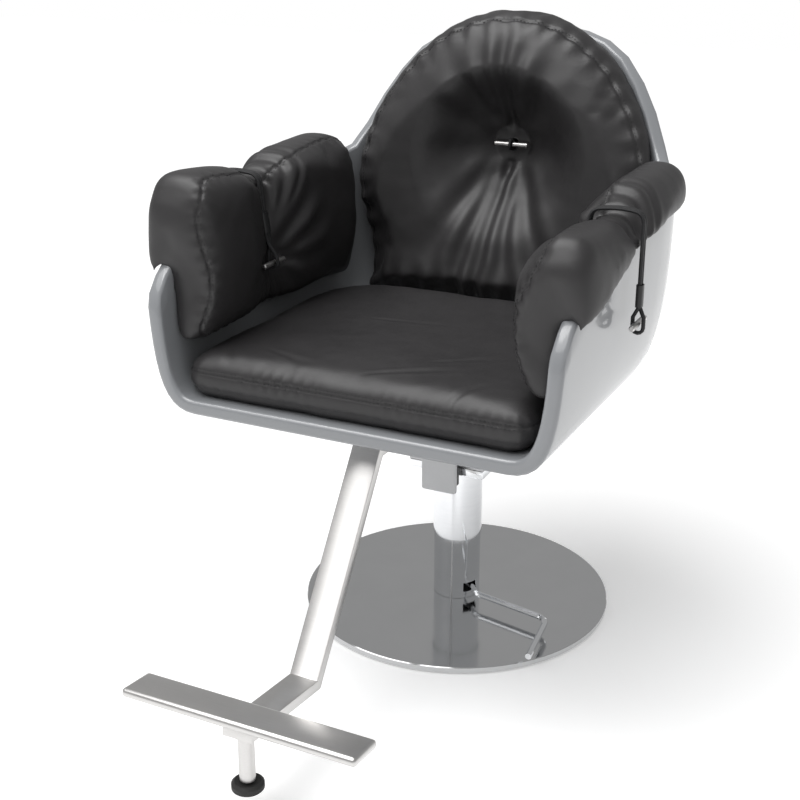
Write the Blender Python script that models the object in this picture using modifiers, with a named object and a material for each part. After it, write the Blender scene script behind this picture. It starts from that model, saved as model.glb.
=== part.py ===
# Salon styling chair: a moulded bucket shell on a hydraulic lift column with a round floor plate,
# a cranked footrest, and loose cushions held by cords and toggle bars.
# Metres. Z up, the sitter faces -Y, the sitter's left is +X. The lift column stands on X = Y = 0.
import math

import bmesh
import bpy
from mathutils import Matrix, Vector

# --- clearances ---
touch_gap = 0.0003          # between faces that rest on each other
run_gap = 0.0004            # radial, between parts that turn or slide
soft_gap = 0.003            # between a cushion and what it leans on

# --- floor plate ---
mat_radius = 0.242
mat_thickness = 0.0025
disk_radius = 0.250
disk_thickness = 0.0099
disk_edge = 0.0012
foot_bolt_radius = 0.006
foot_bolt_head = 0.011
foot_bolt_head_height = 0.0045
foot_bolt_reach = 0.0080    # into the pump foot

# --- pump ---
tube_radius = 0.0383
tube_wall = 0.002
tube_top = 0.200
foot_thickness = 0.010
cap_thickness = 0.006
cylinder_wall = 0.006
seal_thickness = 0.004
ram_radius = 0.025
ram_bottom = 0.076
piston_thickness = 0.012
neck_radius = 0.018
stud_radius = 0.008

# --- lever ---
lever_height = 0.033
lever_radius = 0.005
lever_pivot_x = 0.010
lever_pivot_y = -0.010
lever_bend = 0.012
lever_hub_radius = 0.0085
lever_hub_length = 0.016
lever_pin_radius = 0.003
lever_slot_front = -0.0290
lever_slot_back = -0.0055
lever_slot_low = 0.0240
lever_slot_high = 0.0400
ear_thickness = 0.0025
ear_half_length = 0.008
spring_room = 0.010         # beside the hub, on the pin
spring_wire = 0.0007
spring_radius = 0.0050
spring_turns = 4

# --- sleeve and head of the column ---
sleeve_wall = 0.0010
sleeve_bottom = 0.120
flange_bottom = 0.2420
flange_thickness = 0.014
flange_half_width = 0.0635
flange_half_depth = 0.050
flange_bolt_x = 0.0567
flange_bolt_y = 0.034
flange_bolt_radius = 0.004
flange_bolt_head = 0.0058
flange_bolt_height = 0.005
flange_bolt_tail = 0.004    # below the flange
bush_wall = 0.0055
washer_thickness = 0.003
nut_radius = 0.0135
nut_height = 0.009

# --- riser between column and shell ---
riser_half_width = 0.050
riser_foot = 0.006
riser_wall = 0.005
riser_roof = 0.006
riser_front = -0.050
riser_back = 0.062
plate_thickness = 0.008
plate_half_width = 0.120
plate_front = -0.130
plate_back = 0.115
pad_thickness = 0.0076
pad_lip = 0.004             # how far the pad shows round the plate
shell_bolt_x = 0.098
shell_bolt_front = -0.105
shell_bolt_back = 0.090
shell_bolt_radius = 0.004
shell_bolt_head = 0.0075
shell_bolt_reach = 0.012    # into the shell's floor
cover_half_width = 0.0295
cover_front = -0.080
cover_bottom = 0.2210
cover_top = 0.350
cover_depth = 0.010
latch_half_width = 0.0235
latch_drop = 0.006          # how much higher the latch block ends than the cover

# --- footrest ---
bar_half_width = 0.0215
bar_thickness = 0.015
bar_level = 0.3815          # middle of the level run under the seat
bar_back = 0.050
bar_bend_y = -0.3130
knee_y = -0.4985
knee_z = 0.1160
toe_end = -0.664
toe_pitch = math.radians(6.6)
socket_wall = 0.005
socket_front = -0.128
socket_back = 0.058
clamp_screw_radius = 0.003
clamp_screw_y = -0.095
rest_length = 0.338
rest_width = 0.058
rest_thickness = 0.0125
rest_centre_y = -0.6450
rest_screw_radius = 0.004
rest_screw_head = 0.0075
rest_screw_back = 0.0195    # behind the middle of the pad
post_y = -0.6450
post_radius = 0.0105
post_bottom = 0.0580
glide_radius = 0.0212
glide_bottom = 0.0440
glide_thickness = 0.0115
stem_radius = 0.005
stem_length = 0.036

# --- shell ---
shell_wall = 0.021
shell_floor = 0.4175        # underside of the floor
shell_front = -0.389
side_end = 0.0              # where the straight sides turn into the rounded back
shell_half_width = 0.308
shell_back = 0.272          # how far the back stands behind side_end at its widest
floor_half_width = shell_half_width - 0.073
floor_back = 0.130
corner_half_width = shell_half_width - 0.005
corner_back = 0.240
belly_half_width = shell_half_width - 0.004
belly_back = 0.300
belly_side_height = 0.500
belly_back_height = 0.640
front_edge_height = 0.560   # where the upright front edge starts to curve back
arm_height = 0.695
back_height = 0.912
rim_lean = 0.020            # how far the top of the back leans forward
plan_power = 0.8
arch_rise = (0.0, 0.002, 0.010, 0.032, 0.080, 0.240, 0.450, 0.640, 0.800, 0.900, 0.957, 0.990, 1.0)
side_steps = 11
wall_steps = 10
floor_steps = 3
rim_round = 0.0060

# --- cushions ---
seat_cushion_front = -0.378
seat_cushion_back = 0.094
seat_cushion_half_width = shell_half_width - 0.0455
seat_cushion_height = 0.050
seat_cushion_inset = 0.022
seat_cushion_corner = 0.026
seat_cushion_back_corner = 0.110
back_cushion_half_width = shell_half_width - 0.056
back_cushion_taper = 0.026      # how much narrower it is at the seat
back_cushion_bottom = 0.460
back_cushion_top = back_height + 0.024
back_cushion_spring = back_height - 0.252     # where its sides start to arch over
back_cushion_thickness = 0.105
back_cushion_edge = 0.016
back_cushion_roll = 0.160       # height over which its front rounds over at the top
back_cushion_chin = 0.055       # and at the bottom
back_cushion_clearance = 0.006  # from the sloping inside of the shell
tuft_depth = 0.62               # share of the thickness drawn in at the toggle
tuft_half_width = 0.060
tuft_half_height = 0.045
arm_cushion_bottom = 0.508
arm_cushion_top = 0.742
arm_cushion_waist_top = 0.712
arm_cushion_sag = 0.026         # how much lower the sitter's left one lies at the front
arm_cushion_inner = 0.060
arm_cushion_waist_inner = 0.024
arm_cushion_outer = 0.014
arm_cushion_waist_outer = 0.008
arm_cushion_flap = 0.012        # how far the flap hangs below the rim
waist_y = -0.165
waist_length = 0.075

# --- cords and toggles ---
toggle_radius = 0.0042
toggle_length = 0.058
cord_radius = 0.0028
arm_toggle_x = shell_half_width - 0.073
arm_toggle_height = 0.585
arm_toggle_outer_x = shell_half_width + 0.0195
arm_cord_bends = tuple((shell_half_width - inward, height) for inward, height in
                       ((0.0635, 0.628), (0.0580, 0.662), (0.0520, 0.716), (0.0130, 0.7200)))
arm_toggle_outer_height = 0.568
cord_slack = 0.006              # how far the outer loop hangs below its toggle
cord_sleeve_length = 0.030
cord_sleeve_wall = 0.0014
back_toggle_y = 0.1905
back_toggle_height = back_height - 0.187
tie_hole_gap = 0.0010
tie_washer_radius = 0.017
tie_washer_thickness = 0.003

# --- fineness ---
round_segments = 40
hidden_segments = 24
screw_segments = 16

for leftover in list(bpy.data.objects):
    bpy.data.objects.remove(leftover, do_unlink=True)

parts = bpy.data.collections.new("styling_chair")
cutters = bpy.data.collections.new("cutters")
bpy.context.scene.collection.children.link(parts)
bpy.context.scene.collection.children.link(cutters)


def finish(name, colour, roughness, metallic):
    material = bpy.data.materials.new(name)
    material.use_nodes = True
    shader = material.node_tree.nodes["Principled BSDF"]
    shader.inputs["Base Color"].default_value = (*colour, 1.0)
    shader.inputs["Roughness"].default_value = roughness
    shader.inputs["Metallic"].default_value = metallic
    return material


finishes = {
    "chrome": ((0.80, 0.81, 0.82), 0.06, 1.0),
    "polished_steel": ((0.78, 0.78, 0.78), 0.04, 1.0),
    "brushed_steel": ((0.62, 0.60, 0.58), 0.30, 1.0),
    "plain_steel": ((0.45, 0.45, 0.46), 0.35, 1.0),
    "bronze": ((0.55, 0.38, 0.18), 0.30, 1.0),
    "grey_gloss": ((0.42, 0.44, 0.47), 0.18, 0.0),
    "light_grey_paint": ((0.62, 0.64, 0.67), 0.22, 0.0),
    "black_leather": ((0.045, 0.043, 0.046), 0.50, 0.0),
    "black_cord": ((0.012, 0.012, 0.013), 0.70, 0.0),
    "rubber": ((0.015, 0.015, 0.016), 0.80, 0.0),
    "black_plastic": ((0.010, 0.010, 0.011), 0.45, 0.0),
}


def link(name, mesh, material, parent=None, collection=parts):
    piece = bpy.data.objects.new(name, mesh)
    collection.objects.link(piece)
    if collection is parts:
        shared = bpy.data.materials.get(material) or finish(material, *finishes[material])
        mesh.materials.clear()
        mesh.materials.append(shared)
    if parent:
        piece.parent = parent
        piece.matrix_parent_inverse = parent.matrix_basis.inverted()
    return piece


def axis_empty(name, location, parent=None):
    empty = bpy.data.objects.new(name, None)
    parts.objects.link(empty)
    empty.location = location
    if parent:
        empty.parent = parent
        empty.matrix_parent_inverse = parent.matrix_basis.inverted()
    return empty


def smooth(mesh, degrees=35):
    mesh.shade_smooth()
    mesh.set_sharp_from_angle(angle=math.radians(degrees))


def cutter(mesh, name):
    tool = link(name, mesh, None, collection=cutters)
    tool.hide_render = True
    tool.display_type = "WIRE"
    return tool


def cut(piece, tool):
    boolean = piece.modifiers.new("cut", "BOOLEAN")
    boolean.operation = "DIFFERENCE"
    boolean.object = tool
    return piece


def bevel(piece, width, segments=2, degrees=40):
    edge = piece.modifiers.new("edges", "BEVEL")
    edge.width = width
    edge.segments = segments
    edge.limit_method = "ANGLE"
    edge.angle_limit = math.radians(degrees)
    return piece


def frozen(piece):
    """The piece's evaluated shape as a plain welded mesh; the piece itself is removed."""
    bpy.context.view_layer.update()
    graph = bpy.context.evaluated_depsgraph_get()
    mesh = bpy.data.meshes.new_from_object(piece.evaluated_get(graph), depsgraph=graph)
    mesh.transform(piece.matrix_world)
    bpy.data.objects.remove(piece, do_unlink=True)
    shape = bmesh.new()
    shape.from_mesh(mesh)
    bmesh.ops.remove_doubles(shape, verts=shape.verts, dist=0.00001)
    shape.to_mesh(mesh)
    shape.free()
    return mesh


def turned_mesh(profile, segments=round_segments, closed=False):
    """Profile points (radius, height) run down the outer side; an open one starts and ends on the axis."""
    mesh = bpy.data.meshes.new("profile")
    edges = [(i, i + 1) for i in range(len(profile) - 1)]
    if closed:
        edges.append((len(profile) - 1, 0))
    mesh.from_pydata([(radius, 0.0, height) for radius, height in profile], edges, [])
    blank = link("profile", mesh, None, collection=cutters)
    screw = blank.modifiers.new("turn", "SCREW")
    screw.angle = math.tau
    screw.steps = segments
    screw.render_steps = segments
    screw.use_merge_vertices = True
    screw.merge_threshold = 0.00005
    return frozen(blank)


def rod_profile(radius, low, high, edge=0.0):
    if edge:
        return [(0, high), (radius - edge, high), (radius, high - edge),
                (radius, low + edge), (radius - edge, low), (0, low)]
    return [(0, high), (radius, high), (radius, low), (0, low)]


def ring_profile(inner, outer, low, high):
    return [(outer, high), (outer, low), (inner, low), (inner, high)]


def solid_round(name, radius, low, high, material, parent=None, edge=0.0, segments=round_segments):
    mesh = turned_mesh(rod_profile(radius, low, high, edge), segments)
    smooth(mesh)
    return link(name, mesh, material, parent)


def ring(name, inner, outer, low, high, material, parent=None, segments=round_segments):
    mesh = turned_mesh(ring_profile(inner, outer, low, high), segments, closed=True)
    smooth(mesh)
    return link(name, mesh, material, parent)


def box_mesh(low, high):
    low, high = Vector(low), Vector(high)
    mesh = bpy.data.meshes.new("box")
    shape = bmesh.new()
    bmesh.ops.create_cube(shape, size=1.0)
    size = high - low
    bmesh.ops.transform(shape, verts=shape.verts,
                        matrix=Matrix.Translation((low + high) / 2) @ Matrix.Diagonal((*size, 1.0)))
    shape.to_mesh(mesh)
    shape.free()
    return mesh


def box(name, low, high, material, parent=None, edge=0.001, segments=1):
    piece = link(name, box_mesh(low, high), material, parent)
    if edge:
        bevel(piece, edge, segments)
    return piece


def merged(meshes, places):
    """One mesh from each mesh at each place, as separate closed bodies."""
    shape = bmesh.new()
    for mesh in meshes:
        for place in places:
            copy = mesh.copy()
            copy.transform(place)
            shape.from_mesh(copy)
            bpy.data.meshes.remove(copy)
    result = bpy.data.meshes.new("group")
    shape.to_mesh(result)
    shape.free()
    return result


def drill(name, centres, radius, low, high, segments=16, turn=Matrix.Identity(4)):
    """A cutter of upright cylinders, or of ones laid over by turn about each centre."""
    pin = turned_mesh(rod_profile(radius, low, high), segments)
    places = [Matrix.Translation(Vector(centre)) @ turn for centre in centres]
    return cutter(merged([pin], places), name)


def screw(name, place, head_radius, head_height, shank_radius, shank_length, material, parent=None):
    """A cap screw: its head stands on z = 0 of its place and its shank hangs below."""
    profile = [(0, head_height), (head_radius * 0.85, head_height), (head_radius, head_height * 0.75),
               (head_radius, 0), (shank_radius, 0), (shank_radius, -shank_length), (0, -shank_length)]
    mesh = turned_mesh(profile, screw_segments)
    mesh.transform(place)
    smooth(mesh)
    return link(name, mesh, material, parent)


def tube_mesh(points, radius, resolution=2, cyclic=False):
    curve = bpy.data.curves.new("run", "CURVE")
    curve.dimensions = "3D"
    curve.bevel_depth = radius
    curve.bevel_resolution = resolution
    curve.use_fill_caps = not cyclic
    spline = curve.splines.new("POLY")
    spline.points.add(len(points) - 1)
    for place, point in zip(spline.points, points):
        place.co = (*point, 1.0)
    spline.use_cyclic_u = cyclic
    run = bpy.data.objects.new("run", curve)
    cutters.objects.link(run)
    return frozen(run)


def tube(name, points, radius, material, parent=None, resolution=2, cyclic=False):
    mesh = tube_mesh(points, radius, resolution, cyclic)
    smooth(mesh, 50)
    return link(name, mesh, material, parent)


def extruded_mesh(outlines, half_depth, frame):
    """Flat outlines, the first the outside and the rest holes, thickened both ways along the frame's Z."""
    curve = bpy.data.curves.new("outline", "CURVE")
    curve.dimensions = "2D"
    curve.fill_mode = "BOTH"
    curve.extrude = half_depth
    for outline in outlines:
        spline = curve.splines.new("POLY")
        spline.points.add(len(outline) - 1)
        for place, (x, y) in zip(spline.points, outline):
            place.co = (x, y, 0.0, 1.0)
        spline.use_cyclic_u = True
    flat = bpy.data.objects.new("outline", curve)
    cutters.objects.link(flat)
    flat.matrix_world = frame
    return frozen(flat)


def loft_mesh(rings):
    """A closed skin through rings of equal length, capped flat at both ends."""
    shape = bmesh.new()
    rows = [[shape.verts.new(point) for point in points] for points in rings]
    count = len(rings[0])
    for lower, upper in zip(rows[:-1], rows[1:]):
        for i in range(count):
            j = (i + 1) % count
            shape.faces.new((lower[i], lower[j], upper[j], upper[i]))
    shape.faces.new(list(reversed(rows[0])))
    shape.faces.new(rows[-1])
    bmesh.ops.triangulate(shape, faces=[face for face in shape.faces if len(face.verts) > 4])
    bmesh.ops.recalc_face_normals(shape, faces=shape.faces)
    mesh = bpy.data.meshes.new("loft")
    shape.to_mesh(mesh)
    shape.free()
    smooth(mesh, 50)
    return mesh


def bezier(controls, t):
    a, b, c, d = (Vector(point) for point in controls)
    s = 1.0 - t
    return a * s ** 3 + b * (3 * s * s * t) + c * (3 * s * t * t) + d * t ** 3


# --- the shell's form ---
def front_rise(y):
    """Height of the rim over a straight side: a quarter ellipse from the front edge to the arm."""
    back = min(max((side_end - y) / (side_end - shell_front), 0.0), 1.0)
    return front_edge_height + (arm_height - front_edge_height) * math.sqrt(1.0 - back * back)


def side_rib(y):
    return (
        (floor_half_width, y, shell_floor),
        (corner_half_width, y, shell_floor),
        (belly_half_width, y, belly_side_height),
        (shell_half_width, y, arm_height),
    )


def side_share(y):
    """How far along its rib a side's rim stands, found by halving."""
    low, high = 0.0, 1.0
    for _ in range(30):
        middle = (low + high) / 2
        if bezier(side_rib(y), middle).z < front_rise(y):
            low = middle
        else:
            high = middle
    return (low + high) / 2


def back_rib(angle, rise):
    wide = math.cos(angle) ** plan_power if angle < math.pi / 2 else 0.0
    deep = math.sin(angle) ** plan_power
    turn = math.sin(angle) ** 2
    belly_height = belly_side_height + (belly_back_height - belly_side_height) * turn
    top = arm_height + (back_height - arm_height) * rise
    return (
        (floor_half_width * wide, side_end + floor_back * deep, shell_floor),
        (corner_half_width * wide, side_end + corner_back * deep, shell_floor),
        (belly_half_width * wide, side_end + belly_back * deep, belly_height),
        (shell_half_width * wide, side_end + shell_back * deep - rim_lean * rise, top),
    )


def side_rib_y(step):
    """Place of a side rib: they crowd together towards the front edge."""
    return shell_front + (side_end - shell_front) * (step / side_steps) ** 1.6


def shell_ribs():
    places = [side_rib_y(step) for step in range(side_steps)]
    ribs = [(side_rib(y), side_share(y)) for y in places]
    steps = len(arch_rise) - 1
    for step, rise in enumerate(arch_rise):
        ribs.append((back_rib(math.pi / 2 * step / steps, rise), 1.0))
    return ribs


def shell_mesh():
    """Half of the outside, open along the middle and around the rim."""
    shape = bmesh.new()
    pole = Vector((0.0, side_end, shell_floor))
    rows = []
    for controls, share in shell_ribs():
        middle = Vector((0.0, min(controls[0][1], side_end), shell_floor))
        row = [bezier(controls, share * (1.0 - step / wall_steps)) for step in range(wall_steps + 1)]
        edge = row[-1]
        row += [edge.lerp(middle, step / floor_steps) for step in range(1, floor_steps + 1)]
        rows.append([shape.verts.new(point) for point in row])
    for near, far in zip(rows[:-1], rows[1:]):
        for i in range(len(near) - 1):
            shape.faces.new((near[i], far[i], far[i + 1], near[i + 1]))
    bmesh.ops.remove_doubles(shape, verts=shape.verts, dist=0.00002)
    for vertex in shape.verts:
        if abs(vertex.co.x) < 0.00001:
            vertex.co.x = 0.0
    bmesh.ops.recalc_face_normals(shape, faces=shape.faces)
    lowest = min(shape.faces, key=lambda face: (face.calc_center_median() - pole).length)
    if lowest.normal.z > 0:
        bmesh.ops.reverse_faces(shape, faces=shape.faces)
    mesh = bpy.data.meshes.new("shell")
    shape.to_mesh(mesh)
    shape.free()
    return mesh


def inset_point(controls, t, inset):
    """Reach outwards and height of a rib at t, moved inwards square to the rib."""
    near, far = bezier(controls, t - 0.001), bezier(controls, t + 0.001)
    run = math.hypot(far.x, far.y - side_end) - math.hypot(near.x, near.y - side_end)
    rise = far.z - near.z
    length = math.hypot(run, rise)
    point = bezier(controls, t)
    return math.hypot(point.x, point.y - side_end) - inset * rise / length, point.z + inset * run / length


def wall_reach(controls, height, inset=0.0):
    """How far out a rib stands at a height, found by halving."""
    low, high = 0.0, 1.0
    for _ in range(30):
        middle = (low + high) / 2
        if inset_point(controls, middle, inset)[1] < height:
            low = middle
        else:
            high = middle
    return inset_point(controls, (low + high) / 2, inset)[0]


def wall_x(y, height, inset=0.0):
    """Half width between the walls at a place along a side or round a back corner."""
    power = 2.0 / plan_power
    depth = min(max(y - side_end, 0.0) / (shell_back - inset), 0.999)
    return wall_reach(side_rib(side_end), height, inset) * (1.0 - depth ** power) ** (1.0 / power)


def back_wall_y(x, height, inset=0.0):
    """Face of the back wall at a place."""
    power = 2.0 / plan_power
    across = min(abs(x) / wall_reach(side_rib(side_end), height, inset), 0.999)
    deep = wall_reach(back_rib(math.pi / 2, 1.0), height, inset)
    return side_end + deep * (1.0 - across ** power) ** (1.0 / power)


inner_floor = shell_floor + shell_wall
disk_bottom = mat_thickness + touch_gap
disk_top = disk_bottom + disk_thickness
foot_bottom = disk_top + touch_gap
foot_top = foot_bottom + foot_thickness
flange_top = flange_bottom + flange_thickness
riser_bottom = flange_top + touch_gap
bar_bottom = bar_level - bar_thickness / 2
bar_top = bar_level + bar_thickness / 2
socket_top = bar_top + run_gap + socket_wall
socket_bottom = bar_bottom - run_gap - socket_wall
pad_bottom = shell_floor - touch_gap - pad_thickness
plate_bottom = pad_bottom - touch_gap - plate_thickness
riser_top = plate_bottom - touch_gap
tube_inner = tube_radius - tube_wall
sleeve_inner = tube_radius + run_gap
sleeve_outer = sleeve_inner + sleeve_wall
loop_radius = toggle_radius + cord_radius + run_gap
strand_offset = cord_radius + touch_gap
tie_hole_radius = loop_radius + cord_radius + tie_hole_gap
lay_forward = Matrix.Rotation(math.pi / 2, 4, "X")
lay_forward_half = lay_forward @ Matrix.Rotation(math.pi / 16, 4, "Z")
lay_across = Matrix.Rotation(math.pi / 2, 4, "Y")
turn_over = Matrix.Rotation(math.pi, 4, "X")

lift_axis = axis_empty("lift_axis", (0.0, 0.0, tube_top))
swivel_axis = axis_empty("swivel_axis", (0.0, 0.0, flange_bottom), lift_axis)
lever_axis = axis_empty("lever_axis", (lever_pivot_x, lever_pivot_y, lever_height))
glide_axis = axis_empty("glide_axis", (0.0, post_y, glide_bottom), swivel_axis)


def floor_plate():
    solid_round("base_mat", mat_radius, 0.0, mat_thickness, "rubber", segments=64)
    disk = solid_round("base_disk", disk_radius, disk_bottom, disk_top, "polished_steel", edge=disk_edge,
                       segments=96)
    spots = [(0, 0, 0)]
    sink = disk_bottom + foot_bolt_head_height + touch_gap
    cut(disk, drill("foot_bolt_holes", spots, foot_bolt_radius + run_gap, 0.0, disk_top + 0.01))
    cut(disk, drill("foot_bolt_sinks", spots, foot_bolt_head + run_gap, 0.0, sink))
    foot = solid_round("pump_foot", tube_inner - touch_gap, foot_bottom, foot_top, "plain_steel",
                       segments=hidden_segments)
    cut(foot, drill("foot_threads", spots, foot_bolt_radius + run_gap, 0.0,
                    foot_bottom + foot_bolt_reach + 0.001))
    screw("foot_bolt", Matrix.Translation((0, 0, sink)) @ turn_over, foot_bolt_head, foot_bolt_head_height,
          foot_bolt_radius, foot_bottom + foot_bolt_reach - sink, "plain_steel")


def pump():
    cap_bottom = tube_top - cap_thickness
    body = ring("pump_tube", tube_inner, tube_radius, foot_bottom, cap_bottom - touch_gap, "chrome")
    slot_low = (lever_pivot_x, lever_slot_front, lever_slot_low)
    slot_high = (tube_radius + 0.02, lever_slot_back, lever_slot_high)
    cut(body, cutter(box_mesh(slot_low, slot_high), "lever_slot"))
    ring("pump_cap", ram_radius + run_gap, tube_radius, cap_bottom, tube_top, "chrome")
    bore = ram_radius + 2 * run_gap
    barrel_top = cap_bottom - touch_gap - seal_thickness - touch_gap
    barrel_bottom = lever_height + lever_hub_radius + 0.0035
    ring("pump_cylinder", bore, bore + cylinder_wall, barrel_bottom, barrel_top, "plain_steel",
         segments=hidden_segments)
    ring("ram_seal", ram_radius + run_gap, bore + cylinder_wall, barrel_top + touch_gap,
         cap_bottom - touch_gap, "rubber", segments=hidden_segments)
    ram = [(0, flange_top + washer_thickness + nut_height + 0.006),
           (stud_radius, flange_top + washer_thickness + nut_height + 0.006),
           (stud_radius, flange_top + touch_gap), (neck_radius, flange_top + touch_gap),
           (neck_radius, flange_bottom - touch_gap), (ram_radius, flange_bottom - touch_gap),
           (ram_radius, ram_bottom + piston_thickness), (neck_radius, ram_bottom + piston_thickness),
           (neck_radius, ram_bottom), (0, ram_bottom)]
    mesh = turned_mesh(ram)
    smooth(mesh)
    link("ram", mesh, "chrome", lift_axis)
    ring("piston_ring", neck_radius + touch_gap, ram_radius + run_gap / 2, ram_bottom + 0.001,
         ram_bottom + piston_thickness - touch_gap, "black_plastic", lift_axis, hidden_segments)


def softened(points, reach, steps=4):
    """The points with each corner swapped for a short curve that starts reach before it."""
    points = [Vector(point) for point in points]
    path = [points[0]]
    for before, corner, after in zip(points[:-2], points[1:-1], points[2:]):
        room = min(reach, (before - corner).length * 0.45, (after - corner).length * 0.45)
        start = corner + (before - corner).normalized() * room
        end = corner + (after - corner).normalized() * room
        for step in range(steps + 1):
            t = step / steps
            path.append(start * (1 - t) ** 2 + corner * (2 * t * (1 - t)) + end * t ** 2)
    return path + [points[-1]]


def lever():
    pivot = Vector((lever_pivot_x, lever_pivot_y, lever_height))
    reach = [(lever_hub_radius + 0.002, 0.0), (0.019, -0.0025), (0.037, -0.023), (0.0480, -0.0300),
             (0.0725, -0.0344), (0.1670, -0.0540), (0.1765, -0.0690), (0.1885, -0.1720)]
    path = softened([pivot + Vector((x, y, 0.0)) for x, y in reach], lever_bend)
    rod = tube_mesh(path, lever_radius, 3)
    smooth(rod, 50)
    link("pump_lever", rod, "chrome", lever_axis)
    along_pin = Matrix.Translation(pivot) @ lay_forward
    hub = turned_mesh(ring_profile(lever_pin_radius + run_gap, lever_hub_radius,
                                   -lever_hub_length / 2, lever_hub_length / 2), 24, closed=True)
    hub.transform(along_pin)
    smooth(hub)
    link("lever_hub", hub, "plain_steel", lever_axis)
    front_ear = lever_pivot_y - lever_hub_length / 2 - run_gap
    back_ear = lever_pivot_y + lever_hub_length / 2 + spring_room
    sole = foot_top + touch_gap
    ear_top = lever_height + lever_hub_radius - 0.001
    outline = [(front_ear - ear_thickness, sole), (back_ear + ear_thickness, sole),
               (back_ear + ear_thickness, ear_top), (back_ear, ear_top), (back_ear, sole + 0.001),
               (front_ear, sole + 0.001), (front_ear, ear_top), (front_ear - ear_thickness, ear_top)]
    stand = Matrix.Rotation(math.pi / 2, 4, "Z") @ Matrix.Rotation(math.pi / 2, 4, "X")
    clevis_mesh = extruded_mesh([outline], ear_half_length, Matrix.Translation((lever_pivot_x, 0, 0)) @ stand)
    clevis = link("lever_clevis", clevis_mesh, "plain_steel")
    pin_front = front_ear - ear_thickness - 0.001
    pin_back = back_ear + ear_thickness + 0.001
    hole = turned_mesh(rod_profile(lever_pin_radius + run_gap / 2, lever_pivot_y - pin_back - 0.01,
                                   lever_pivot_y - pin_front + 0.01), 16)
    hole.transform(along_pin)
    cut(clevis, cutter(hole, "pin_hole"))
    pin = turned_mesh(rod_profile(lever_pin_radius, lever_pivot_y - pin_back, lever_pivot_y - pin_front), 16)
    pin.transform(along_pin)
    smooth(pin)
    link("lever_pin", pin, "plain_steel")
    coil = []
    first = lever_pivot_y + lever_hub_length / 2 + 2 * spring_wire
    pitch = (back_ear - 2 * spring_wire - first) / spring_turns
    for step in range(spring_turns * 10 + 1):
        angle = math.tau * step / 10
        coil.append((lever_pivot_x + spring_radius * math.cos(angle), first + pitch * step / 10,
                     lever_height + spring_radius * math.sin(angle)))
    tube("lever_spring", coil, spring_wire, "plain_steel", resolution=0)


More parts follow.
